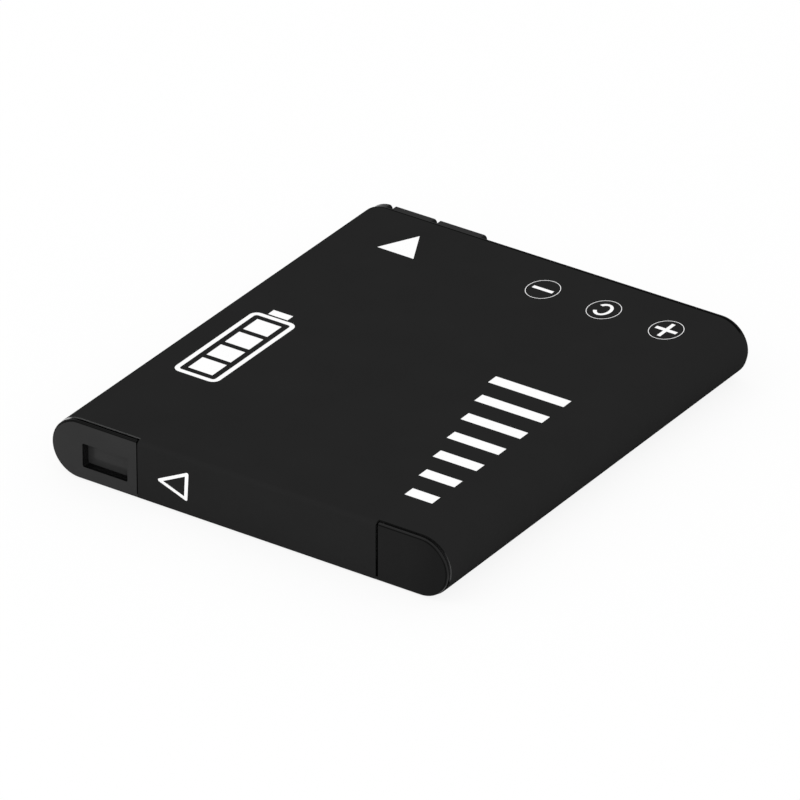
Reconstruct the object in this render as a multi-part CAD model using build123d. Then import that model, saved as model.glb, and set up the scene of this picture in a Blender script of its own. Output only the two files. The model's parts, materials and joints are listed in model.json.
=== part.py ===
from build123d import *
import os

# Slim camera battery: a sealed flat cell between two moulded caps, with printed film wrapped round all three.
# Millimetres. +X runs along the width, +Y from the bottom cap to the terminal end, and +Z points up.
# The origin is the middle of the underside.

# Pack, over the film
pack_width = 38.0
pack_length = 44.2
pack_thickness = 5.3

# Film wrap
film_thickness = 0.12
film_adhesive = 0.02
film_near_setback = 0.55
film_far_setback = 0.33
film_seam_gap = 0.15
film_seam_from_left = 9.0
flap_from_left = 8.42
flap_from_right = 6.8
flap_inside_radius = 0.3
flap_lower_gap = 0.05

# Bottom cap
bottom_cap_depth = 2.9
bottom_cap_wall = 0.9
bottom_face_wall = 0.95
bottom_rib_thickness = 0.8
bottom_rib_count = 4
pad_top_step = 0.03
pad_side_step = 0.04
pad_underside_step = 0.1
pad_edge_radius = 0.19
pad_groove_width = 0.34
pad_groove_depth = 0.28
flap_groove_left = 0.1
flap_groove_right = 0.24
flap_groove_web = 0.35
flap_side_clearance = 0.02
recess_from_left = 3.05
recess_from_underside = 1.28
recess_width = 4.38
recess_height = 2.12
recess_depth = 0.8
recess_corner_radius = 0.15
recess_wall = 0.6

# Terminal cap
terminal_cap_depth = 4.2
terminal_cap_wall = 0.55
terminal_face_wall = 0.9
land_height = 0.65
land_end_from_left = 12.12
land_edge_chamfer = 0.1
land_end_radius = 0.3
key_slot_width = 0.34
first_key_slot_from_left = 2.94
key_slot_pitch = 4.42
window_width = 3.0
window_height = 2.4
window_corner_radius = 0.3
window_lead_in = 0.2
snap_length = 3.0
snap_height = 0.3
snap_slope = 0.6
snap_spacing = 7.0
snap_clearance = 0.05

# Contacts
contact_pitch = 6.0
plus_contact_from_right = 4.95
contact_thickness = 0.35
contact_clearance = 0.2
contact_corner_radius = 0.2
contact_edge_chamfer = 0.08

# Cell
can_base_chamfer = 0.4
weld_seam_inset = 0.3
weld_seam_width = 0.12
weld_seam_depth = 0.08
press_clearance = 0.01
rivet_bore_radius = 0.75
rivet_bore_depth = 0.9
rivet_shank_radius = 0.5
rivet_head_radius = 0.85
gasket_flange_radius = 1.05
gasket_flange_thickness = 0.25
fill_hole_radius = 0.5
fill_hole_depth = 0.7
fill_head_radius = 0.8
fill_head_thickness = 0.2
fill_hole_offset = 3.4

# Lid insulator and tape
insulator_thickness = 0.15
insulator_edge_gap = 0.15
insulator_hole_gap = 0.12
tape_thickness = 0.15

# Straps, weld plate and fuse
strap_thickness = 0.12
strap_width = 2.4
strap_bend_radius = 0.3
strap_corner_radius = 0.3
strap_pad_length = 2.3
riser_from_side = 6.0
weld_slit_width = 0.35
weld_slit_length = 1.5
weld_plate_length = 3.6
weld_plate_width = 2.8
weld_plate_thickness = 0.3
weld_plate_from_side = 6.7
fuse_length = 3.8
fuse_width = 2.8
fuse_thickness = 0.5
fuse_from_side = 6.8
plate_corner_radius = 0.4

# Board and its components
board_thickness = 0.6
board_edge_gap = 0.1
board_corner_radius = 0.5
transistor_length = 3.2
transistor_width = 2.0
transistor_height = 0.75
transistor_from_left = 8.4
chip_length = 2.9
chip_width = 1.6
chip_height = 1.1
chip_standoff = 0.1
chip_from_left = 12.6
chip_edge_chamfer = 0.1
lead_count = 3
lead_pitch = 0.95
lead_width = 0.4
lead_thickness = 0.15
lead_reach = 0.6
lead_knee = 0.25
small_chip_length = 1.0
small_chip_width = 0.5
small_chip_cap_length = 0.25
small_chip_cap_lip = 0.02
resistor_height = 0.35
capacitor_height = 0.5
small_chip_from_left = 15.0
small_chip_pitch = 0.9
resistor_count = 3
capacitor_count = 2
capacitor_from_right = 10.2
thermistor_length = 1.6
thermistor_width = 0.8
thermistor_height = 0.6
thermistor_from_right = 8.2

# Stations along the width and the height
left_side = -pack_width / 2
right_side = pack_width / 2
middle_height = pack_thickness / 2
film_build_up = film_thickness + film_adhesive
core_width = pack_width - 2 * film_build_up
core_thickness = pack_thickness - 2 * film_build_up
core_top = pack_thickness - film_build_up
flap_left = left_side + flap_from_left
flap_right = right_side - flap_from_right
recess_middle = left_side + recess_from_left + recess_width / 2
land_end = left_side + land_end_from_left
weld_plate_left = right_side - weld_plate_from_side - weld_plate_length
plus_contact_x = right_side - plus_contact_from_right
contact_places = {
    "contact_minus": plus_contact_x - 2 * contact_pitch,
    "contact_c": plus_contact_x - contact_pitch,
    "contact_plus": plus_contact_x,
}

# Stations along the length
near_face = -pack_length / 2
land_face = pack_length / 2
terminal_face = land_face - land_height
film_near_edge = near_face + film_near_setback
film_far_edge = terminal_face - film_far_setback
pad_end = film_near_edge - pad_groove_width
bottom_cap_end = near_face + bottom_cap_depth
can_base = bottom_cap_end + tape_thickness
lid_face = terminal_face - terminal_cap_depth
board_outer = terminal_face - terminal_face_wall
board_inner = board_outer - board_thickness
fuse_seat = lid_face + insulator_thickness + strap_thickness
fuse_top = fuse_seat + fuse_thickness
weld_plate_top = lid_face + weld_plate_thickness
gasket_top = lid_face + gasket_flange_thickness

# Margin by which a cutting tool runs past the face that it opens
overrun = 1.0


def across(sketch, y_start, y_end):
    """Extrude a section, drawn in X and in height about the middle of the pack, between two stations."""
    plane = Plane(origin=(0, y_end, middle_height), x_dir=(1, 0, 0), z_dir=(0, -1, 0))
    return extrude(plane * sketch, amount=y_end - y_start)


def along_width(outline, x_start, x_end):
    """Extrude an outline, given as (y, z) corners, between two places across the width."""
    face = make_face(Polyline(*[(x_start, y, z) for y, z in outline], close=True))
    return extrude(face, amount=x_end - x_start, dir=(1, 0, 0))


def core_outline(inset=0.0):
    """Flat section with full-round sides that the cell and both caps share."""
    return SlotOverall(core_width - 2 * inset, core_thickness - 2 * inset)


def span(x_start, x_end, height):
    """Rectangle between two places across the width, about the middle of the pack."""
    return Pos((x_start + x_end) / 2, 0) * Rectangle(x_end - x_start, height)


def edge_section(y_face, z_top, radius, y_end, z_end):
    """Section, in Y and Z, of a block whose near top edge has the given radius."""
    height = z_top - z_end
    length = y_end - y_face
    block = Pos((y_face + y_end) / 2, (z_top + z_end) / 2) * Rectangle(length, height)
    corner = block.vertices().sort_by(Axis.X)[:2].sort_by(Axis.Y)[-1]
    return fillet(corner, radius)


def from_side_view(sketch, x_start, x_end):
    """Extrude a section drawn in Y and Z between two places across the width."""
    plane = Plane(origin=(x_start, 0, 0), x_dir=(0, 1, 0), z_dir=(1, 0, 0))
    return extrude(plane * sketch, amount=x_end - x_start)


# Film wrap


def label_wrap():
    """Film round the pack, open at a seam below, with a flap folded down over the near end."""
    outer = SlotOverall(pack_width, pack_thickness)
    inner = SlotOverall(pack_width - 2 * film_thickness, pack_thickness - 2 * film_thickness)
    seam_x = left_side + film_seam_from_left
    seam = Pos(seam_x, -middle_height) * Rectangle(film_seam_gap, pack_thickness)
    sleeve = across(outer - inner - seam, film_near_edge, film_far_edge)
    flap_end = film_build_up + flap_lower_gap
    outside = edge_section(
        near_face, pack_thickness, flap_inside_radius + film_thickness, film_near_edge, flap_end
    )
    inside = edge_section(
        near_face + film_thickness,
        pack_thickness - film_thickness,
        flap_inside_radius,
        film_near_edge + overrun,
        flap_end - overrun,
    )
    flap = from_side_view(outside - inside, flap_left, flap_right)
    return sleeve + flap


# Bottom cap


def pad_outline():
    """Section of the bare corner pads, which stand almost flush with the film."""
    width = pack_width - 2 * pad_side_step
    height = pack_thickness - pad_top_step - pad_underside_step
    return Pos(0, (pad_underside_step - pad_top_step) / 2) * SlotOverall(width, height)


def flap_seat():
    """Tool that sinks the near face by the film's build-up under the flap and rounds its upper edge."""
    seat_face = near_face + film_build_up
    block = Pos(near_face, middle_height) * Rectangle(2 * overrun, pack_thickness + 2 * overrun)
    kept = edge_section(seat_face, core_top, flap_inside_radius, near_face + 2 * overrun, -2 * overrun)
    return from_side_view(block - kept, flap_left - flap_side_clearance, flap_right + flap_side_clearance)


def flap_groove(x_start, x_end):
    """Section of a groove beside the flap, closed by a web at the underside."""
    return Pos(0, flap_groove_web) * span(x_start, x_end, core_thickness)


def pad_grooves():
    """Tool for the shadow grooves that run round both bare corner pads."""
    ring = core_outline(-overrun) - core_outline(pad_groove_depth)
    beyond = span(left_side - overrun, flap_left, pack_thickness + 2 * overrun)
    beyond += span(flap_right, right_side + overrun, pack_thickness + 2 * overrun)
    tool = across(ring & beyond, pad_end, film_near_edge)
    beside = flap_groove(flap_left - flap_groove_left, flap_left)
    beside += flap_groove(flap_right, flap_right + flap_groove_right)
    return tool + across(beside, near_face - overrun, film_near_edge)


def recess_outline(margin=0.0):
    """Outline of the key recess, grown by a margin."""
    middle = recess_from_underside + recess_height / 2 - middle_height
    width = recess_width + 2 * margin
    height = recess_height + 2 * margin
    return Pos(recess_middle, middle) * RectangleRounded(width, height, recess_corner_radius + margin)


def bottom_hollow():
    """Tool that cores the cap out from the cell's side, between ribs and round the recess."""
    pockets = core_outline(bottom_cap_wall)
    for index in range(bottom_rib_count):
        place = left_side + pack_width * (index + 1) / (bottom_rib_count + 1)
        pockets -= span(place - bottom_rib_thickness / 2, place + bottom_rib_thickness / 2, pack_thickness)
    hollow = across(pockets, near_face + bottom_face_wall, bottom_cap_end)
    return hollow - across(recess_outline(recess_wall), near_face, near_face + recess_depth + recess_wall)


def bottom_cap():
    """Moulded cap of the near end, with two bare corner pads, the flap's seat and the key recess."""
    body = across(pad_outline(), near_face, pad_end)
    body = fillet(body.faces().sort_by(Axis.Y)[0].edges(), pad_edge_radius)
    body += across(core_outline(), pad_end, bottom_cap_end)
    body -= flap_seat()
    body -= pad_grooves()
    body -= across(recess_outline(), near_face - overrun, near_face + recess_depth)
    return body - bottom_hollow()


# Terminal cap


def lands():
    """Keying lands at the left of the terminal face, round at their right ends, with key slots between."""
    slots = [left_side + first_key_slot_from_left + index * key_slot_pitch for index in range(2)]
    starts = [left_side] + [place + key_slot_width / 2 for place in slots]
    ends = [place - key_slot_width / 2 for place in slots] + [land_end]
    raised = []
    for start, end in zip(starts, ends):
        land = across(core_outline() & span(start, end, pack_thickness), terminal_face, land_face)
        land = fillet(land.edges().filter_by(Axis.Y).sort_by(Axis.X)[-2:], land_end_radius)
        raised.append(chamfer(land.faces().sort_by(Axis.Y)[-1].edges(), land_edge_chamfer))
    return raised


def contact_window(place):
    """Tool for one contact window, with a lead-in at the face."""
    opening = Pos(place, 0) * RectangleRounded(window_width, window_height, window_corner_radius)
    mouth = Pos(place, 0) * RectangleRounded(
        window_width + 2 * window_lead_in,
        window_height + 2 * window_lead_in,
        window_corner_radius + window_lead_in,
    )
    face = Plane(origin=(0, terminal_face, middle_height), x_dir=(1, 0, 0), z_dir=(0, -1, 0))
    return across(opening, board_outer, terminal_face) + extrude(face * mouth, amount=window_lead_in, taper=45)


def board_snaps():
    """Sloped snaps on the cavity's upper and lower walls, which hold the board against the face."""
    catch = board_inner - snap_clearance
    wall = core_thickness / 2 - terminal_cap_wall
    snaps = []
    for place in (-snap_spacing / 2, snap_spacing / 2):
        for side in (1, -1):
            root = middle_height + side * (wall + terminal_cap_wall / 2)
            surface = middle_height + side * wall
            tip = middle_height + side * (wall - snap_height)
            outline = [(catch, root), (catch, tip), (catch - snap_slope, surface), (catch - snap_slope, root)]
            snaps.append(along_width(outline, place - snap_length / 2, place + snap_length / 2))
    return snaps


def terminal_cap():
    """Moulded cup over the board, with the contact windows and keying lands in its face."""
    body = across(core_outline(), lid_face, terminal_face)
    body -= across(core_outline(terminal_cap_wall), lid_face, board_outer)
    for place in contact_places.values():
        body -= contact_window(place)
    for piece in lands() + board_snaps():
        body += piece
    return body


# Cell


def disc(place, radius, y_start, y_end):
    """Round plug along the length of the pack."""
    return across(Pos(place, 0) * Circle(radius), y_start, y_end)


def cell():
    """Sealed can, one solid: chamfered base edge, weld seam of the lid, rivet bore and filling hole."""
    can = across(core_outline(), can_base, lid_face)
    can = chamfer(can.faces().sort_by(Axis.Y)[0].edges(), can_base_chamfer)
    seam = core_outline(weld_seam_inset) - core_outline(weld_seam_inset + weld_seam_width)
    can -= across(seam, lid_face - weld_seam_depth, lid_face)
    can -= disc(0, rivet_bore_radius, lid_face - rivet_bore_depth, lid_face)
    can -= disc(fill_hole_offset, fill_hole_radius, lid_face - fill_hole_depth, lid_face)
    return can


def cell_gasket():
    """Insulating washer with a sleeve down the rivet bore."""
    washer = disc(0, gasket_flange_radius, lid_face, gasket_top)
    sleeve_radius = rivet_bore_radius - press_clearance
    washer += disc(0, sleeve_radius, lid_face - rivet_bore_depth, lid_face)
    return washer - disc(0, rivet_shank_radius, lid_face - rivet_bore_depth, gasket_top)


def cell_rivet():
    """Negative rivet, whose head carries the strap level with the fuse."""
    shank = disc(0, rivet_shank_radius - press_clearance, lid_face - rivet_bore_depth, gasket_top)
    return shank + disc(0, rivet_head_radius, gasket_top, fuse_top)


def fill_plug():
    """Plug of the filling hole."""
    plug = disc(fill_hole_offset, fill_hole_radius - press_clearance, lid_face - fill_hole_depth, lid_face)
    return plug + disc(fill_hole_offset, fill_head_radius, lid_face, lid_face + fill_head_thickness)


def clad_plate():
    """Weld plate for the positive strap."""
    outline = RectangleRounded(weld_plate_length, weld_plate_width, plate_corner_radius)
    return across(Pos(weld_plate_left + weld_plate_length / 2, 0) * outline, lid_face, weld_plate_top)


def lid_insulator():
    """Die-cut paper on the lid, up to the weld plate and clear of the washer and the filling plug."""
    sheet = core_outline(terminal_cap_wall + insulator_edge_gap)
    sheet -= span(weld_plate_left - insulator_hole_gap, right_side, pack_thickness)
    sheet -= Circle(gasket_flange_radius + insulator_hole_gap)
    sheet -= Pos(fill_hole_offset, 0) * Circle(fill_head_radius + insulator_hole_gap)
    return across(sheet, lid_face, lid_face + insulator_thickness)


def bottom_tape():
    """Double-sided tape on the flat of the can's base."""
    return across(core_outline(can_base_chamfer), bottom_cap_end, can_base)


# Straps and fuse


def stepped_strap(x_start, x_riser, x_end, y_seat):
    """Bent strap: flat on its seat, up a riser, and flat again under the board."""
    low = y_seat + strap_thickness / 2
    high = board_inner - strap_thickness / 2
    corners = [(x_start, low), (x_riser, low), (x_riser, high), (x_end, high)]
    path = FilletPolyline(*corners, radius=strap_bend_radius)
    section = trace(path, line_width=strap_thickness)
    return extrude(Pos(0, 0, middle_height - strap_width / 2) * section, amount=strap_width)


def positive_strap():
    """Strap from the weld plate to the board's right end."""
    riser = right_side - riser_from_side
    return stepped_strap(weld_plate_left, riser, riser + strap_pad_length, weld_plate_top)


def fuse_strap():
    """Strap from under the fuse to the board's left end."""
    riser = left_side + riser_from_side
    start = left_side + fuse_from_side + fuse_length
    return stepped_strap(start, riser, riser - strap_pad_length, lid_face + insulator_thickness)


def resettable_fuse():
    """Flat polymer fuse between its two straps."""
    middle = left_side + fuse_from_side + fuse_length / 2
    outline = Pos(middle, 0) * RectangleRounded(fuse_length, fuse_width, plate_corner_radius)
    return across(outline, fuse_seat, fuse_top)


def negative_strap():
    """Flat strap from the rivet to the fuse, slit at the rivet for its spot welds."""
    x_start = left_side + fuse_from_side
    x_end = rivet_head_radius
    middle = (x_start + x_end) / 2
    outline = Pos(middle, 0) * RectangleRounded(x_end - x_start, strap_width, strap_corner_radius)
    slit = Pos(x_end - weld_slit_length / 2, 0) * Rectangle(weld_slit_length, weld_slit_width)
    return across(outline - slit, fuse_top, fuse_top + strap_thickness)


# Board, contacts and components


def circuit_board():
    """Narrow board on edge behind the terminal face."""
    height = core_thickness - 2 * terminal_cap_wall - 2 * board_edge_gap
    outline = RectangleRounded(core_width - core_thickness, height, board_corner_radius)
    return across(outline, board_inner, board_outer)


def contact(place):
    """Contact plate on the board's outer side, inside its window."""
    outline = RectangleRounded(
        window_width - 2 * contact_clearance, window_height - 2 * contact_clearance, contact_corner_radius
    )
    plate = across(Pos(place, 0) * outline, board_outer, board_outer + contact_thickness)
    return chamfer(plate.faces().sort_by(Axis.Y)[-1].edges(), contact_edge_chamfer)


def package(place, length, width, near_board, height):
    """Moulded chip package on the board's inner side, with its back edges chamfered."""
    block = across(Pos(place, 0) * Rectangle(length, width), board_inner - height, board_inner - near_board)
    return chamfer(block.faces().sort_by(Axis.Y)[0].edges(), chip_edge_chamfer)


def switch_transistors():
    """Leadless package with the two switching transistors."""
    return package(left_side + transistor_from_left, transistor_length, transistor_width, 0, transistor_height)


def protection_chip():
    """Chip package with a row of bent leads on each long side."""
    middle = left_side + chip_from_left
    body = package(middle, chip_length, chip_width, chip_standoff, chip_height)
    root = chip_width / 2 - lead_thickness
    knee = chip_width / 2 + lead_knee
    tip = chip_width / 2 + lead_reach
    rise = (chip_standoff + chip_height + lead_thickness) / 2
    profile = [(0, tip), (0, knee - lead_thickness), (rise - lead_thickness, knee - lead_thickness)]
    profile += [(rise - lead_thickness, root), (rise, root), (rise, knee), (lead_thickness, knee)]
    profile += [(lead_thickness, tip)]
    for index in range(lead_count):
        place = middle + (index - (lead_count - 1) / 2) * lead_pitch
        for side in (1, -1):
            outline = [(board_inner - lift, middle_height + side * reach) for lift, reach in profile]
            body += along_width(outline, place - lead_width / 2, place + lead_width / 2)
    return body


def small_chip(place, offset, length, width, height):
    """Ceramic chip on edge to the board, with a metal cap at each end."""
    middle = Pos(place, offset)
    lip = small_chip_cap_lip
    body_length = length - small_chip_cap_length
    core = across(middle * Rectangle(body_length, width), board_inner - height + lip, board_inner - lip)
    for side in (1, -1):
        end = Pos(side * body_length / 2, 0)
        cap = middle * end * Rectangle(small_chip_cap_length, width + 2 * lip)
        core += across(cap, board_inner - height, board_inner)
    return core


def small_chip_column(place, count, height):
    """Column of like chips, one above the other."""
    chips = []
    for index in range(count):
        offset = (index - (count - 1) / 2) * small_chip_pitch
        chips.append(small_chip(place, offset, small_chip_length, small_chip_width, height))
    return Compound(children=chips)


def thermistor():
    """Temperature sensor read through the middle contact."""
    place = right_side - thermistor_from_right
    return small_chip(place, 0, thermistor_length, thermistor_width, thermistor_height)


nodes = {
    "label_wrap": label_wrap(),
    "bottom_cap": bottom_cap(),
    "terminal_cap": terminal_cap(),
    "cell": cell(),
    "cell_gasket": cell_gasket(),
    "cell_rivet": cell_rivet(),
    "fill_plug": fill_plug(),
    "lid_insulator": lid_insulator(),
    "clad_plate": clad_plate(),
    "positive_strap": positive_strap(),
    "negative_strap": negative_strap(),
    "resettable_fuse": resettable_fuse(),
    "fuse_strap": fuse_strap(),
    "circuit_board": circuit_board(),
    "protection_chip": protection_chip(),
    "switch_transistors": switch_transistors(),
    "chip_resistors": small_chip_column(left_side + small_chip_from_left, resistor_count, resistor_height),
    "chip_capacitors": small_chip_column(right_side - capacitor_from_right, capacitor_count, capacitor_height),
    "thermistor": thermistor(),
    "bottom_tape": bottom_tape(),
}
for contact_name, contact_place in contact_places.items():
    nodes[contact_name] = contact(contact_place)

os.makedirs("parts", exist_ok=True)
for name, solid in nodes.items():
    export_step(solid, f"parts/{name}.step")
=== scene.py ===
import json
import math

import bmesh
import bpy
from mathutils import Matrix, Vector


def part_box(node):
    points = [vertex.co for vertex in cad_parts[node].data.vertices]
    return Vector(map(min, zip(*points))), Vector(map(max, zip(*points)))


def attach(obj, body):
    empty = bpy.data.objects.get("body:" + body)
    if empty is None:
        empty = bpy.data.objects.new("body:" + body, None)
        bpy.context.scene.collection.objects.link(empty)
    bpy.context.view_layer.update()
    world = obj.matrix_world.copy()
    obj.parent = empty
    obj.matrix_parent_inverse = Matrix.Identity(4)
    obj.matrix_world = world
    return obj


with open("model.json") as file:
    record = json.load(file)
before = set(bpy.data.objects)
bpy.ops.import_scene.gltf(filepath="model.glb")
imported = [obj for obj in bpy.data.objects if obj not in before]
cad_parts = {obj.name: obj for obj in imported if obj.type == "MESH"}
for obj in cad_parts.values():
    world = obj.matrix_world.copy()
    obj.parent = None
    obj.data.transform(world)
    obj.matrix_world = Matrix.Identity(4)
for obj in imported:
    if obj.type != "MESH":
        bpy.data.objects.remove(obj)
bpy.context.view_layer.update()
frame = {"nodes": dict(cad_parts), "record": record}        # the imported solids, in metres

MM = 0.001

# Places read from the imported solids, in metres
FILM_LOW, FILM_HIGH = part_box("label_wrap")
TOP = FILM_HIGH.z
NEAR_FACE = FILM_LOW.y
FAR_EDGE = FILM_HIGH.y


def span(start, end, origin=0.0):
    """Two places on an axis, in metres, given in millimetres from an origin."""
    return (origin + start * MM, origin + end * MM)


# Camera, fitted to the outline of the object in the photograph
CAMERA_AZIMUTH = math.radians(34.254)
CAMERA_ELEVATION = math.radians(29.311)
CAMERA_DISTANCE = 820.0 * MM
CAMERA_AIM = Vector((-0.100, -0.625, 2.380)) * MM
CAMERA_NEAREST = 0.01
CAMERA_FARTHEST = 20.0
SENSOR_WIDTH = 36.0
FOCAL_LENGTH = 460.83

# Floor and surround, in metres
FLOOR_HALF_SIZE = 3.0
FLOOR_DROP = 0.02 * MM
FLOOR_TONE = 0.95
FLOOR_SHADOW_SHARE = 0.12
SURROUND_STRENGTH = 0.95

# Printed marks, in millimetres on the film
INK_THICKNESS = 0.006
INK_WELD = 0.0005
ROUND_STEPS = 8
MARK_CENTRES = {"minus": (2.10, 16.732), "middle": (8.06, 16.645), "plus": (14.062, 16.634)}
RING_HALF_WIDTH = 1.374
RING_HALF_LENGTH = 1.583
RING_LINE = 0.052
RING_STEPS = 96
MINUS_LENGTH = 1.93
MINUS_WIDTH = 0.376
PLUS_WIDTH = 1.985
PLUS_LENGTH = 2.30
PLUS_LINES = (0.326, 0.385)
TOP_ARROW = ((-13.074, 15.141), (-9.497, 15.106), (-11.249, 18.608))
FLAP_ARROW = ((-8.452, 2.468), (-5.927, 1.545), (-5.797, 3.812))
FLAP_ARROW_LINES = (0.27, 0.321, 0.27)

# Letter C: half axes, and half angles of its mouth in radians on the outer and the inner curve
C_OUTER = (0.765, 1.0)
C_INNER = (0.452, 0.725)
C_SHIFT = -0.053
C_INNER_SHIFT = 0.024
C_MOUTH_TOP = (0.552, 0.651)
C_MOUTH_FOOT = (0.513, 0.507)
C_STEPS = 40

# Plain print on the top face, in millimetres: a charge symbol and a level gauge
CHARGE_CENTRE = (-13.0, -5.2)
CHARGE_WIDTH = 4.3
CHARGE_LENGTH = 11.6
CHARGE_LINE = 0.42
CHARGE_CORNER = 0.7
CHARGE_NUB_WIDTH = 1.9
CHARGE_NUB_LENGTH = 0.8
CHARGE_BARS = 4
CHARGE_BAR_GAP = 0.55
GAUGE_RIGHT = 14.2
GAUGE_START = -16.6
GAUGE_BARS = 7
GAUGE_PITCH = 3.1
GAUGE_BAR_WIDTH = 1.15
GAUGE_SHORTEST = 2.6
GAUGE_LONGEST = 7.2

# Finishes: tones are linear greys, places are in metres, noise is per metre, facings and tilts are cosines
EVEN = (1.0, 1.0, 1.0)
NOISE_RANGE = (0.3, 0.7)
FINE_DETAIL = 2.0
CLOUD_DETAIL = 3.0
CLOUD_TO_GRAIN = 0.12
GLOSS_SPREAD = 0.15
RELIEF_DEPTH = 0.02 * MM
SMOOTH_RELIEF_DEPTH = 0.01 * MM
FULL_RANGE = (0.0, 1.0)
TOWARDS_NEAR_END = (0.0, -1.0, 0.0)
TOWARDS_FAR_END = (0.0, 1.0, 0.0)

# Height over which painted light on the round right-hand side turns on, from dark below to light above
RIGHT_SIDE_PAINTED_LIGHT_HEIGHT = span(1.8, 2.15)

# Film: its printed face, painted light and a painted glint on its near cut edge, and painted shade along its
# far edge
FILM_TONE = 0.0176
FILM_TONE_SPREAD = 0.03
FILM_CLOUD = 220.0
FILM_CLOUD_DETAIL = 4.0
FILM_GRAIN = 9000.0
FILM_RELIEF = 0.08
FILM_ROUGHNESS = (0.75, 0.9)
FILM_SPECULAR = 0.0
CUT_EDGE_INKED = 0.012
# Painted light on the near cut edge, left of the flap and round the right-hand side
CUT_EDGE_PAINTED_LIGHT = 0.1
# Painted glint on the near cut edge at the upper left corner
CUT_EDGE_PAINTED_GLINT = 0.75
CUT_EDGE_FACING = (0.9, 0.99)
CUT_EDGE_PLACE = span(0.3, 0.4, NEAR_FACE)
CUT_EDGE_LEFT = span(-10.7, -10.5)
CUT_EDGE_RIGHT = span(18.25, 18.95)
CUT_EDGE_CORNER = span(-17.65, -17.28)
CUT_EDGE_UPPER = span(4.3, 4.45)
# Painted shade: a dark line along the far edge, where the film meets the far cap
FAR_EDGE_PAINTED_SHADE = 0.002
FAR_EDGE_PLACE = span(-0.16, -0.05, FAR_EDGE)
FAR_EDGE_SPAN = span(-12.0, 17.0)
FAR_EDGE_WIDENING = 0.09 * MM
FAR_EDGE_UPPER = span(4.2, 4.5)

# Caps: black polished plastic
CAP_TONE = 0.003
CAP_TONE_SPREAD = 0.1
CAP_CLOUD = 300.0
CAP_GRAIN = 14000.0
CAP_RELIEF = 0.05
CAP_ROUGHNESS = 0.13
CAP_GLOSS_SPREAD = 0.1
CAP_SPECULAR = 0.07

# Near cap: painted light on its pads, recess and groove, a painted highlight on its right rim, and painted
# shade on the rounds beside the pads
# Painted light on the pad faces, strong at the left and weak at the right, fading towards the right end
PAD_PAINTED_LIGHT_LEFT = 0.022
PAD_PAINTED_LIGHT_RIGHT = 0.0038
PAD_SPAN = span(-11.0, 13.0)
PAD_FADE = 0.3
PAD_FADE_SPAN = span(15.0, 17.8)
PAD_WANDER = (0.94, 1.06)
PAD_PLACE = span(0.05, 0.1, NEAR_FACE)
PAD_FACING = (0.97, 0.995)
# Painted light on the recess floor, as a multiple of the pads' painted light
RECESS_PAINTED_LIGHT = 1.35
RECESS_PLACE = span(0.6, 0.7, NEAR_FACE)
RECESS_ACROSS = span(-11.5, -11.3)
RECESS_HEIGHT = span(3.5, 3.6)
# Painted light on the recess walls, as a share of the pads' painted light
RECESS_WALL_PAINTED_LIGHT_SHARE = 0.35
RECESS_WALL_LEAN = (0.9, 0.0, 0.3)
RECESS_WALL_FACING = (0.0, RECESS_WALL_LEAN[0])
# Painted highlight along the right pad's rounded rim, above a height
RIM_PAINTED_HIGHLIGHT = 0.014
RIM_START = span(12.0, 12.2)
RIM_PLACE = span(0.2, 0.24, NEAR_FACE)
RIM_TILT = (-0.82, -0.62)
# Painted light on the groove wall round the right-hand side
GROOVE_PLACE = span(0.4, 0.5, NEAR_FACE)
GROOVE_SPAN = span(17.0, 18.4)
GROOVE_PAINTED_LIGHT_SHARES = (0.7, 2.2)

# Places of the colour sockets among a Mix node's inputs and outputs
MIX_COLOURS = (6, 7)
MIX_RESULT = 2


# Materials


def grey(level):
    """Grey colour of a level."""
    return (level, level, level, 1.0)


def around(level, spread):
    """A level less and plus a share of itself."""
    return (level * (1 - spread), level * (1 + spread))


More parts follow.
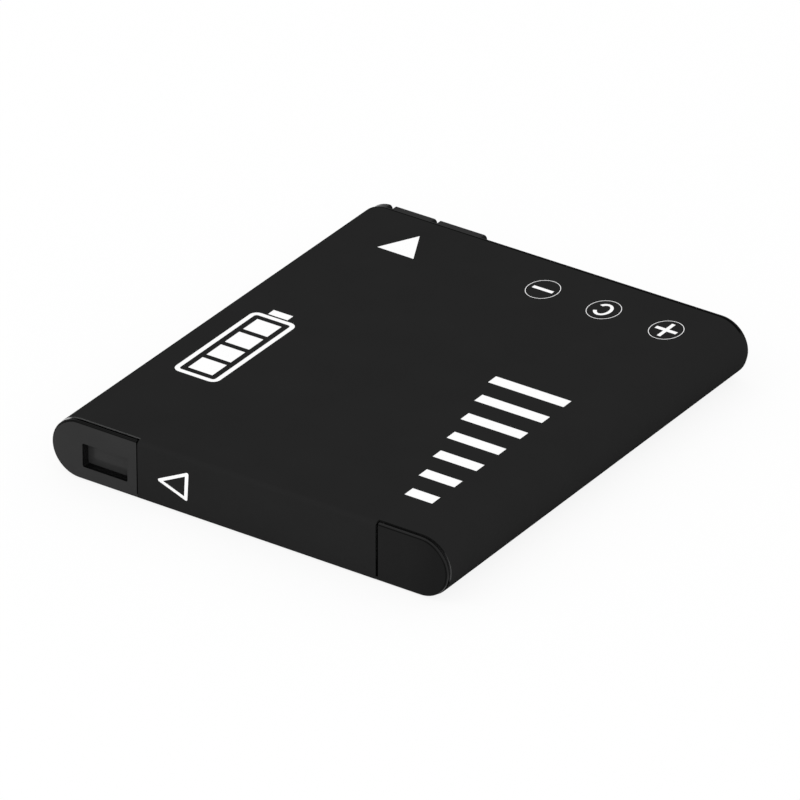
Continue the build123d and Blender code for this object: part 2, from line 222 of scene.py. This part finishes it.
class Finish:
    """A new node material, with methods that add nodes and give back what they put out."""

    def __init__(self, name):
        self.material = bpy.data.materials.new(name)
        self.material.use_nodes = True
        self.nodes = self.material.node_tree.nodes
        self.links = self.material.node_tree.links
        self.shader = next(node for node in self.nodes if node.type == "BSDF_PRINCIPLED")

    def noise(self, scale, detail, stretch=EVEN):
        """Noise in object space, so that it has one scale on every face."""
        coordinates = self.nodes.new("ShaderNodeTexCoord")
        mapping = self.nodes.new("ShaderNodeMapping")
        mapping.inputs["Scale"].default_value = stretch
        noise = self.nodes.new("ShaderNodeTexNoise")
        noise.inputs["Scale"].default_value = scale
        noise.inputs["Detail"].default_value = detail
        self.links.new(coordinates.outputs["Object"], mapping.inputs["Vector"])
        self.links.new(mapping.outputs["Vector"], noise.inputs["Vector"])
        return noise.outputs["Fac"]

    def axes(self):
        """The shaded point's three coordinates, in metres in the shared frame."""
        coordinates = self.nodes.new("ShaderNodeTexCoord")
        split = self.nodes.new("ShaderNodeSeparateXYZ")
        self.links.new(coordinates.outputs["Object"], split.inputs["Vector"])
        return [split.outputs[axis] for axis in "XYZ"]

    def graded(self, source, limits, low, high):
        """Level that runs from low to high while the source runs between its limits."""
        window = self.nodes.new("ShaderNodeMapRange")
        window.inputs["From Min"].default_value = limits[0]
        window.inputs["From Max"].default_value = limits[1]
        window.inputs["To Min"].default_value = low
        window.inputs["To Max"].default_value = high
        self.links.new(source, window.inputs["Value"])
        return window.outputs["Result"]

    def rising(self, source, limits):
        """Level that rises from 0 to 1 while the source runs between its limits."""
        return self.graded(source, limits, 0.0, 1.0)

    def falling(self, source, limits):
        """Level that falls from 1 to 0 while the source runs between its limits."""
        return self.graded(source, limits, 1.0, 0.0)

    def facing(self, direction, limits):
        """Level that rises from 0 to 1 as the surface turns towards a direction."""
        geometry = self.nodes.new("ShaderNodeNewGeometry")
        dot = self.nodes.new("ShaderNodeVectorMath")
        dot.operation = "DOT_PRODUCT"
        dot.inputs[1].default_value = direction
        self.links.new(geometry.outputs["True Normal"], dot.inputs[0])
        return self.rising(dot.outputs["Value"], limits)

    def joined(self, operation, levels):
        """Levels put together one after another."""
        result = levels[0]
        for level in levels[1:]:
            node = self.nodes.new("ShaderNodeMath")
            node.operation = operation
            self.links.new(result, node.inputs[0])
            self.links.new(level, node.inputs[1])
            result = node.outputs["Value"]
        return result

    def product(self, *levels):
        """Levels multiplied."""
        return self.joined("MULTIPLY", levels)

    def total(self, *levels):
        """Levels added."""
        return self.joined("ADD", levels)

    def largest(self, *levels):
        """The largest of some levels."""
        return self.joined("MAXIMUM", levels)

    def ramp(self, source, low, high):
        """Colour that runs from low to high over the middle of a noise."""
        node = self.nodes.new("ShaderNodeValToRGB")
        for stop, position, colour in zip(node.color_ramp.elements, NOISE_RANGE, (low, high)):
            stop.position = position
            stop.color = colour
        self.links.new(source, node.inputs["Fac"])
        return node.outputs["Color"]

    def mixed(self, factor, first, second):
        """Mix of two colours, each given as numbers or as another node's output."""
        mix = self.nodes.new("ShaderNodeMix")
        mix.data_type = "RGBA"
        self.links.new(factor, mix.inputs["Factor"])
        for socket, colour in zip(MIX_COLOURS, (first, second)):
            if isinstance(colour, tuple):
                mix.inputs[socket].default_value = colour
            else:
                self.links.new(colour, mix.inputs[socket])
        return mix.outputs[MIX_RESULT]

    def surface(self, tone, fine, roughness, specular, relief, depth, metallic=0.0):
        """The shader's colour, uneven gloss and fine grain."""
        inputs = self.shader.inputs
        self.links.new(tone, inputs["Base Color"])
        self.links.new(self.ramp(fine, grey(roughness[0]), grey(roughness[1])), inputs["Roughness"])
        inputs["Specular IOR Level"].default_value = specular
        inputs["Metallic"].default_value = metallic
        bump = self.nodes.new("ShaderNodeBump")
        bump.inputs["Strength"].default_value = relief
        bump.inputs["Distance"].default_value = depth
        self.links.new(fine, bump.inputs["Height"])
        self.links.new(bump.outputs["Normal"], inputs["Normal"])
        return self.material


def textured(name, low, high, roughness, specular, grain, relief, metallic=0.0, stretch=EVEN):
    """General finish: a colour that wanders between two tones, uneven gloss and a fine grain."""
    finish = Finish(name)
    cloud = finish.noise(grain * CLOUD_TO_GRAIN, CLOUD_DETAIL, stretch)
    fine = finish.noise(grain, FINE_DETAIL, stretch)
    tone = finish.ramp(cloud, (*low, 1.0), (*high, 1.0))
    gloss = around(roughness, GLOSS_SPREAD)
    return finish.surface(tone, fine, gloss, specular, relief, RELIEF_DEPTH, metallic)


def film_material():
    """Dead matt printed film, with painted light and a painted glint on its near cut edge and painted shade
    along its far edge.
    """
    finish = Finish("printed_film")
    cloud = finish.noise(FILM_CLOUD, FILM_CLOUD_DETAIL)
    fine = finish.noise(FILM_GRAIN, FINE_DETAIL)
    across, along, height = finish.axes()
    dark, light = around(FILM_TONE, FILM_TONE_SPREAD)
    face = finish.ramp(cloud, grey(dark), grey(light))

    # Painted light on the cut edge left of the flap, and on the round right-hand side above a height
    painted_light_left = finish.falling(across, CUT_EDGE_LEFT)
    painted_light_right = finish.product(
        finish.rising(across, CUT_EDGE_RIGHT),
        finish.rising(height, RIGHT_SIDE_PAINTED_LIGHT_HEIGHT),
    )
    painted_light = finish.largest(painted_light_left, painted_light_right)
    # Painted glint on the cut edge at the upper left corner
    painted_glint = finish.product(
        finish.falling(across, CUT_EDGE_CORNER),
        finish.rising(height, CUT_EDGE_UPPER),
    )
    cut = finish.mixed(painted_light, grey(CUT_EDGE_INKED), grey(CUT_EDGE_PAINTED_LIGHT))
    cut = finish.mixed(painted_glint, cut, grey(CUT_EDGE_PAINTED_GLINT))
    near_edge = finish.product(
        finish.facing(TOWARDS_NEAR_END, CUT_EDGE_FACING),
        finish.rising(along, CUT_EDGE_PLACE),
    )
    tone = finish.mixed(near_edge, face, cut)

    # Painted shade along the far edge, widening towards the right
    widened = finish.total(along, finish.graded(across, FAR_EDGE_SPAN, 0.0, FAR_EDGE_WIDENING))
    far_edge_painted_shade = finish.product(
        finish.rising(widened, FAR_EDGE_PLACE),
        finish.rising(height, FAR_EDGE_UPPER),
    )
    tone = finish.mixed(far_edge_painted_shade, tone, grey(FAR_EDGE_PAINTED_SHADE))
    return finish.surface(tone, fine, FILM_ROUGHNESS, FILM_SPECULAR, FILM_RELIEF, SMOOTH_RELIEF_DEPTH)


def cap_ground(finish, cloud):
    """A cap's black tone, which wanders with a cloud."""
    return finish.graded(cloud, NOISE_RANGE, *around(CAP_TONE, CAP_TONE_SPREAD))


def cap_surface(finish, tone):
    """A cap's polish under its tone."""
    fine = finish.noise(CAP_GRAIN, FINE_DETAIL)
    gloss = around(CAP_ROUGHNESS, CAP_GLOSS_SPREAD)
    return finish.surface(tone, fine, gloss, CAP_SPECULAR, CAP_RELIEF, SMOOTH_RELIEF_DEPTH)


def far_cap_material():
    """Black polished moulding, the same all over."""
    finish = Finish("far_cap_moulding")
    cloud = finish.noise(CAP_CLOUD, CLOUD_DETAIL)
    return cap_surface(finish, cap_ground(finish, cloud))


def near_cap_material():
    """Black polished moulding: painted light on the pad faces, the recess floor and walls and the groove, a
    painted highlight on the right rim, and painted shade on the rounds beside the pads.
    """
    finish = Finish("near_cap_moulding")
    cloud = finish.noise(CAP_CLOUD, CLOUD_DETAIL)
    across, along, height = finish.axes()
    flat = finish.facing(TOWARDS_NEAR_END, PAD_FACING)
    in_front = finish.falling(along, RIM_PLACE)

    # Painted light on the pad faces and on the recess floor
    pad_painted_light = finish.product(
        finish.graded(across, PAD_SPAN, PAD_PAINTED_LIGHT_LEFT, PAD_PAINTED_LIGHT_RIGHT),
        finish.graded(across, PAD_FADE_SPAN, 1.0, PAD_FADE),
    )
    pads_and_recess = finish.total(
        finish.falling(along, PAD_PLACE),
        finish.graded(along, RECESS_PLACE, 0.0, RECESS_PAINTED_LIGHT),
    )
    wander = finish.graded(cloud, NOISE_RANGE, *PAD_WANDER)
    faces = finish.product(pad_painted_light, wander, pads_and_recess, flat)
    # Painted light on the recess walls
    recess_walls_painted_light = finish.product(
        pad_painted_light,
        finish.graded(across, RECESS_ACROSS, RECESS_WALL_PAINTED_LIGHT_SHARE, 0.0),
        finish.falling(height, RECESS_HEIGHT),
        finish.facing(RECESS_WALL_LEAN, RECESS_WALL_FACING),
    )

    # Painted light on the right-hand side above a height, used for the rim's painted highlight and the
    # groove's painted light
    right_painted_light = finish.product(
        finish.graded(across, RIM_START, 0.0, RIM_PAINTED_HIGHLIGHT),
        finish.rising(height, RIGHT_SIDE_PAINTED_LIGHT_HEIGHT),
    )
    rim = finish.product(right_painted_light, in_front, finish.facing(TOWARDS_FAR_END, RIM_TILT))
    # Painted light on the groove wall round the right-hand side
    groove = finish.product(
        right_painted_light,
        finish.rising(along, GROOVE_PLACE),
        finish.graded(across, GROOVE_SPAN, *GROOVE_PAINTED_LIGHT_SHARES),
        flat,
    )

    # Painted shade: the rounds beside the pads lose the cap's black tone and read blacker
    rounds = finish.product(in_front, finish.falling(flat, FULL_RANGE))
    ground = finish.product(cap_ground(finish, cloud), finish.falling(rounds, FULL_RANGE))
    return cap_surface(finish, finish.total(faces, recess_walls_painted_light, rim, groove, ground))


def inner_materials():
    """Finishes of the pieces inside the film and caps, by material slot."""
    finishes = {
        "can_metal": dict(
            low=(0.6, 0.61, 0.62), high=(0.72, 0.73, 0.74),
            roughness=0.38, specular=0.5, grain=3000, relief=0.1, metallic=1.0, stretch=(1, 8, 1),
        ),
        "nickel": dict(
            low=(0.52, 0.5, 0.46), high=(0.64, 0.62, 0.57),
            roughness=0.3, specular=0.5, grain=4000, relief=0.1, metallic=1.0, stretch=(8, 1, 1),
        ),
        "gold_contact": dict(
            low=(0.72, 0.5, 0.19), high=(0.84, 0.62, 0.28),
            roughness=0.24, specular=0.5, grain=5000, relief=0.08, metallic=1.0, stretch=(1, 1, 6),
        ),
        "seal_plastic": dict(
            low=(0.12, 0.12, 0.13), high=(0.18, 0.18, 0.19),
            roughness=0.5, specular=0.4, grain=6000, relief=0.1,
        ),
        "insulating_paper": dict(
            low=(0.5, 0.45, 0.33), high=(0.6, 0.55, 0.42),
            roughness=0.85, specular=0.3, grain=8000, relief=0.3,
        ),
        "fuse_body": dict(
            low=(0.06, 0.16, 0.08), high=(0.09, 0.22, 0.11),
            roughness=0.6, specular=0.4, grain=6000, relief=0.15,
        ),
        "board": dict(
            low=(0.02, 0.12, 0.05), high=(0.035, 0.17, 0.075),
            roughness=0.35, specular=0.5, grain=9000, relief=0.2,
        ),
        "chip_body": dict(
            low=(0.02, 0.02, 0.024), high=(0.035, 0.035, 0.04),
            roughness=0.55, specular=0.4, grain=12000, relief=0.2,
        ),
        "chip_ceramic": dict(
            low=(0.36, 0.25, 0.16), high=(0.46, 0.34, 0.23),
            roughness=0.5, specular=0.4, grain=9000, relief=0.15,
        ),
        "tape": dict(
            low=(0.7, 0.69, 0.64), high=(0.8, 0.79, 0.75),
            roughness=0.7, specular=0.3, grain=5000, relief=0.15,
        ),
    }
    return {slot: textured(slot, **finish) for slot, finish in finishes.items()}


SLOT_MATERIALS = inner_materials()
SLOT_MATERIALS["label_film"] = film_material()
SLOT_MATERIALS["cap_plastic"] = near_cap_material()
NODE_MATERIALS = {"terminal_cap": far_cap_material()}
INK = textured(
    "white_ink", (0.94, 0.94, 0.94), (0.97, 0.97, 0.97),
    roughness=0.6, specular=0.1, grain=9000, relief=0.05,
)

for part in frame["record"]["subparts"]:
    materials = frame["nodes"][part["node"]].data.materials
    materials.clear()
    materials.append(NODE_MATERIALS.get(part["node"], SLOT_MATERIALS[part["material_slot"]]))


# Outlines of the printed marks, in millimetres


def ellipse(centre, half_width, half_length, start=0.0, end=2 * math.pi, steps=RING_STEPS):
    """Points along an ellipse, from one angle to another."""
    points = []
    for index in range(steps + 1):
        angle = start + (end - start) * index / steps
        points.append((centre[0] + half_width * math.cos(angle), centre[1] + half_length * math.sin(angle)))
    return points


def rectangle(centre, width, length):
    """Corners of a rectangle."""
    x, y = centre
    return [
        (x - width / 2, y - length / 2),
        (x + width / 2, y - length / 2),
        (x + width / 2, y + length / 2),
        (x - width / 2, y + length / 2),
    ]


def rounded_rectangle(centre, width, length, radius):
    """Outline of a rectangle with round corners."""
    points = []
    for index, (side, end) in enumerate(((1, 1), (-1, 1), (-1, -1), (1, -1))):
        corner = (centre[0] + side * (width / 2 - radius), centre[1] + end * (length / 2 - radius))
        quarter = index * math.pi / 2
        points += ellipse(corner, radius, radius, quarter, quarter + math.pi / 2, ROUND_STEPS)
    return points


def stroke_outline(points, widths):
    """Outlines of a closed line drawn anticlockwise, a width for each side: round outside, sharp inside."""
    outer = []
    inner = []
    for index, point in enumerate(points):
        here = Vector(point)
        before = (here - Vector(points[index - 1])).normalized()
        after = (Vector(points[(index + 1) % len(points)]) - here).normalized()
        half_before = widths[index - 1] / 2
        half_after = widths[index] / 2
        start = math.atan2(-before.x, before.y)
        for step in range(ROUND_STEPS + 1):
            share = step / ROUND_STEPS
            angle = start + before.angle(after) * share
            reach = half_before + (half_after - half_before) * share
            outer.append((here.x + reach * math.cos(angle), here.y + reach * math.sin(angle)))
        sine = before.x * after.y - before.y * after.x
        corner = here + (after * half_before - before * half_after) / sine
        inner.append((corner.x, corner.y))
    return outer, inner


def minus_sign(centre):
    """Bar of the minus sign."""
    return [rectangle(centre, MINUS_LENGTH, MINUS_WIDTH)]


def plus_sign(centre):
    """Outline of the plus sign, whose left half is its right half turned round."""
    across = PLUS_WIDTH / 2
    along = PLUS_LENGTH / 2
    x = PLUS_LINES[0] / 2
    y = PLUS_LINES[1] / 2
    right = [(x, -along), (x, -y), (across, -y), (across, y), (x, y), (x, along)]
    left = [(-px, -py) for px, py in right]
    return [[(centre[0] + px, centre[1] + py) for px, py in right + left]]


def c_sign(centre):
    """Letter C, open to the left as seen from the near end, with its inner curve a little to the right."""
    curves = []
    for half_axes, top, foot, shift in (
        (C_OUTER, C_MOUTH_TOP[0], C_MOUTH_FOOT[0], C_SHIFT),
        (C_INNER, C_MOUTH_TOP[1], C_MOUTH_FOOT[1], C_SHIFT + C_INNER_SHIFT),
    ):
        middle = (centre[0] + shift, centre[1])
        curves.append(ellipse(middle, *half_axes, foot - math.pi, math.pi - top, C_STEPS))
    outer, inner = curves
    return [outer + inner[::-1]]


# Printed marks as thin layers of ink


def to_top(x, y, lift):
    """Place of a mark's point on the top face, in metres."""
    return Vector((x, y, 0)) * MM + Vector((0, 0, TOP + lift * MM))


def to_near_end(x, z, lift):
    """Place of a mark's point on the flap at the near end, in metres."""
    return Vector((x, 0, z)) * MM + Vector((0, NEAR_FACE - lift * MM, 0))


def ink(name, outlines, place=to_top):
    """A thin layer of ink inside closed outlines, where one outline inside another is a hole."""
    curve = bpy.data.curves.new(name, "CURVE")
    curve.dimensions = "2D"
    curve.fill_mode = "BOTH"
    for outline in outlines:
        spline = curve.splines.new("POLY")
        spline.points.add(len(outline) - 1)
        for point, (x, y) in zip(spline.points, outline):
            point.co = (x, y, 0, 1)
        spline.use_cyclic_u = True
    curve.extrude = INK_THICKNESS / 2
    holder = bpy.data.objects.new(name + "_outline", curve)
    bpy.context.scene.collection.objects.link(holder)
    mesh = bpy.data.meshes.new_from_object(holder.evaluated_get(bpy.context.evaluated_depsgraph_get()))
    bpy.data.objects.remove(holder)
    bpy.data.curves.remove(curve)
    for vertex in mesh.vertices:
        vertex.co = place(vertex.co.x, vertex.co.y, vertex.co.z + INK_THICKNESS / 2)
    shape = bmesh.new()
    shape.from_mesh(mesh)
    bmesh.ops.remove_doubles(shape, verts=shape.verts, dist=INK_WELD * MM)
    bmesh.ops.recalc_face_normals(shape, faces=shape.faces)
    shape.to_mesh(mesh)
    shape.free()
    mesh.name = name
    mesh.materials.clear()
    mesh.materials.append(INK)
    piece = bpy.data.objects.new(name, mesh)
    bpy.context.scene.collection.objects.link(piece)
    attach(piece, "root")


def ringed(name, sign):
    """A sign in a thin ring."""
    centre = MARK_CENTRES[name]
    half = RING_LINE / 2
    outer = ellipse(centre, RING_HALF_WIDTH + half, RING_HALF_LENGTH + half)[:-1]
    inner = ellipse(centre, RING_HALF_WIDTH - half, RING_HALF_LENGTH - half)[:-1]
    ink(name + "_ring", [outer, inner])
    ink(name + "_sign", sign(centre))


def charge_symbol():
    """Plain outline of a cell with charge bars."""
    x, y = CHARGE_CENTRE
    inner_width = CHARGE_WIDTH - 2 * CHARGE_LINE
    inner_length = CHARGE_LENGTH - 2 * CHARGE_LINE
    outer = rounded_rectangle(CHARGE_CENTRE, CHARGE_WIDTH, CHARGE_LENGTH, CHARGE_CORNER)
    inner = rounded_rectangle(CHARGE_CENTRE, inner_width, inner_length, CHARGE_CORNER - CHARGE_LINE)
    ink("charge_outline", [outer, inner])
    nub_centre = (x, y + (CHARGE_LENGTH + CHARGE_NUB_LENGTH + CHARGE_LINE) / 2)
    ink("charge_nub", [rectangle(nub_centre, CHARGE_NUB_WIDTH, CHARGE_NUB_LENGTH)])
    bar_width = inner_width - 2 * CHARGE_BAR_GAP
    bar_length = (inner_length - (CHARGE_BARS + 1) * CHARGE_BAR_GAP) / CHARGE_BARS
    pitch = bar_length + CHARGE_BAR_GAP
    first = y - inner_length / 2 + CHARGE_BAR_GAP + bar_length / 2
    bars = [rectangle((x, first + index * pitch), bar_width, bar_length) for index in range(CHARGE_BARS)]
    ink("charge_bars", bars)


def level_gauge():
    """Row of plain bars that grow towards the terminal end."""
    bars = []
    for index in range(GAUGE_BARS):
        length = GAUGE_SHORTEST + (GAUGE_LONGEST - GAUGE_SHORTEST) * index / (GAUGE_BARS - 1)
        centre = (GAUGE_RIGHT - length / 2, GAUGE_START + index * GAUGE_PITCH)
        bars.append(rectangle(centre, length, GAUGE_BAR_WIDTH))
    ink("level_gauge", bars)


ringed("minus", minus_sign)
ringed("middle", c_sign)
ringed("plus", plus_sign)
ink("insertion_arrow", [TOP_ARROW])
ink("flap_arrow", stroke_outline(FLAP_ARROW, FLAP_ARROW_LINES), to_near_end)
charge_symbol()
level_gauge()


# Floor, light and camera


def floor_material():
    """White floor that keeps a soft shadow."""
    finish = Finish("pale_floor")
    nodes = finish.nodes
    links = finish.links
    nodes.remove(finish.shader)
    diffuse = nodes.new("ShaderNodeBsdfDiffuse")
    diffuse.inputs["Color"].default_value = grey(FLOOR_TONE)
    glow = nodes.new("ShaderNodeEmission")
    glow.inputs["Color"].default_value = grey(1.0)
    seen = nodes.new("ShaderNodeMixShader")
    seen.inputs["Fac"].default_value = FLOOR_SHADOW_SHARE
    links.new(glow.outputs["Emission"], seen.inputs[1])
    links.new(diffuse.outputs["BSDF"], seen.inputs[2])
    path = nodes.new("ShaderNodeLightPath").outputs
    seen_straight = finish.largest(path["Is Camera Ray"], path["Is Glossy Ray"], path["Is Transmission Ray"])
    final = nodes.new("ShaderNodeMixShader")
    links.new(seen_straight, final.inputs["Fac"])
    links.new(diffuse.outputs["BSDF"], final.inputs[1])
    links.new(seen.outputs["Shader"], final.inputs[2])
    output = next(node for node in nodes if node.type == "OUTPUT_MATERIAL")
    links.new(final.outputs["Shader"], output.inputs["Surface"])
    return finish.material


def floor():
    """Large plain floor, just under the film."""
    corners = rectangle((0.0, 0.0), 2 * FLOOR_HALF_SIZE, 2 * FLOOR_HALF_SIZE)
    mesh = bpy.data.meshes.new("floor")
    mesh.from_pydata([(x, y, -FLOOR_DROP) for x, y in corners], [], [(0, 1, 2, 3)])
    mesh.materials.append(floor_material())
    piece = bpy.data.objects.new("floor", mesh)
    bpy.context.scene.collection.objects.link(piece)


def surround():
    """Even white world round the object."""
    world = bpy.data.worlds.new("surround")
    world.use_nodes = True
    background = world.node_tree.nodes["Background"]
    background.inputs["Color"].default_value = grey(1.0)
    background.inputs["Strength"].default_value = SURROUND_STRENGTH
    bpy.context.scene.world = world


def softbox(name, place, size, watts):
    """Square area lamp aimed at the object, with its place and size in metres."""
    data = bpy.data.lights.new(name, "AREA")
    data.shape = "SQUARE"
    data.size = size
    data.energy = watts
    lamp = bpy.data.objects.new(name, data)
    lamp.location = place
    lamp.rotation_euler = (CAMERA_AIM - Vector(place)).to_track_quat("-Z", "Y").to_euler()
    bpy.context.scene.collection.objects.link(lamp)


def camera():
    """Long lens at the photograph's angle."""
    data = bpy.data.cameras.new("camera")
    data.sensor_width = SENSOR_WIDTH
    data.lens = FOCAL_LENGTH
    data.clip_start = CAMERA_NEAREST
    data.clip_end = CAMERA_FARTHEST
    level = math.cos(CAMERA_ELEVATION)
    direction = Vector((
        math.sin(CAMERA_AZIMUTH) * level,
        -math.cos(CAMERA_AZIMUTH) * level,
        math.sin(CAMERA_ELEVATION),
    ))
    viewer = bpy.data.objects.new("camera", data)
    viewer.location = CAMERA_AIM + direction * CAMERA_DISTANCE
    viewer.rotation_euler = (-direction).to_track_quat("-Z", "Y").to_euler()
    bpy.context.scene.collection.objects.link(viewer)
    bpy.context.scene.camera = viewer


floor()
surround()
softbox("key", place=(-0.35, -0.45, 0.55), size=0.4, watts=0.6)
softbox("fill", place=(0.30, -0.60, 0.15), size=0.5, watts=0.8)
camera()
bpy.context.scene.view_settings.view_transform = "Standard"
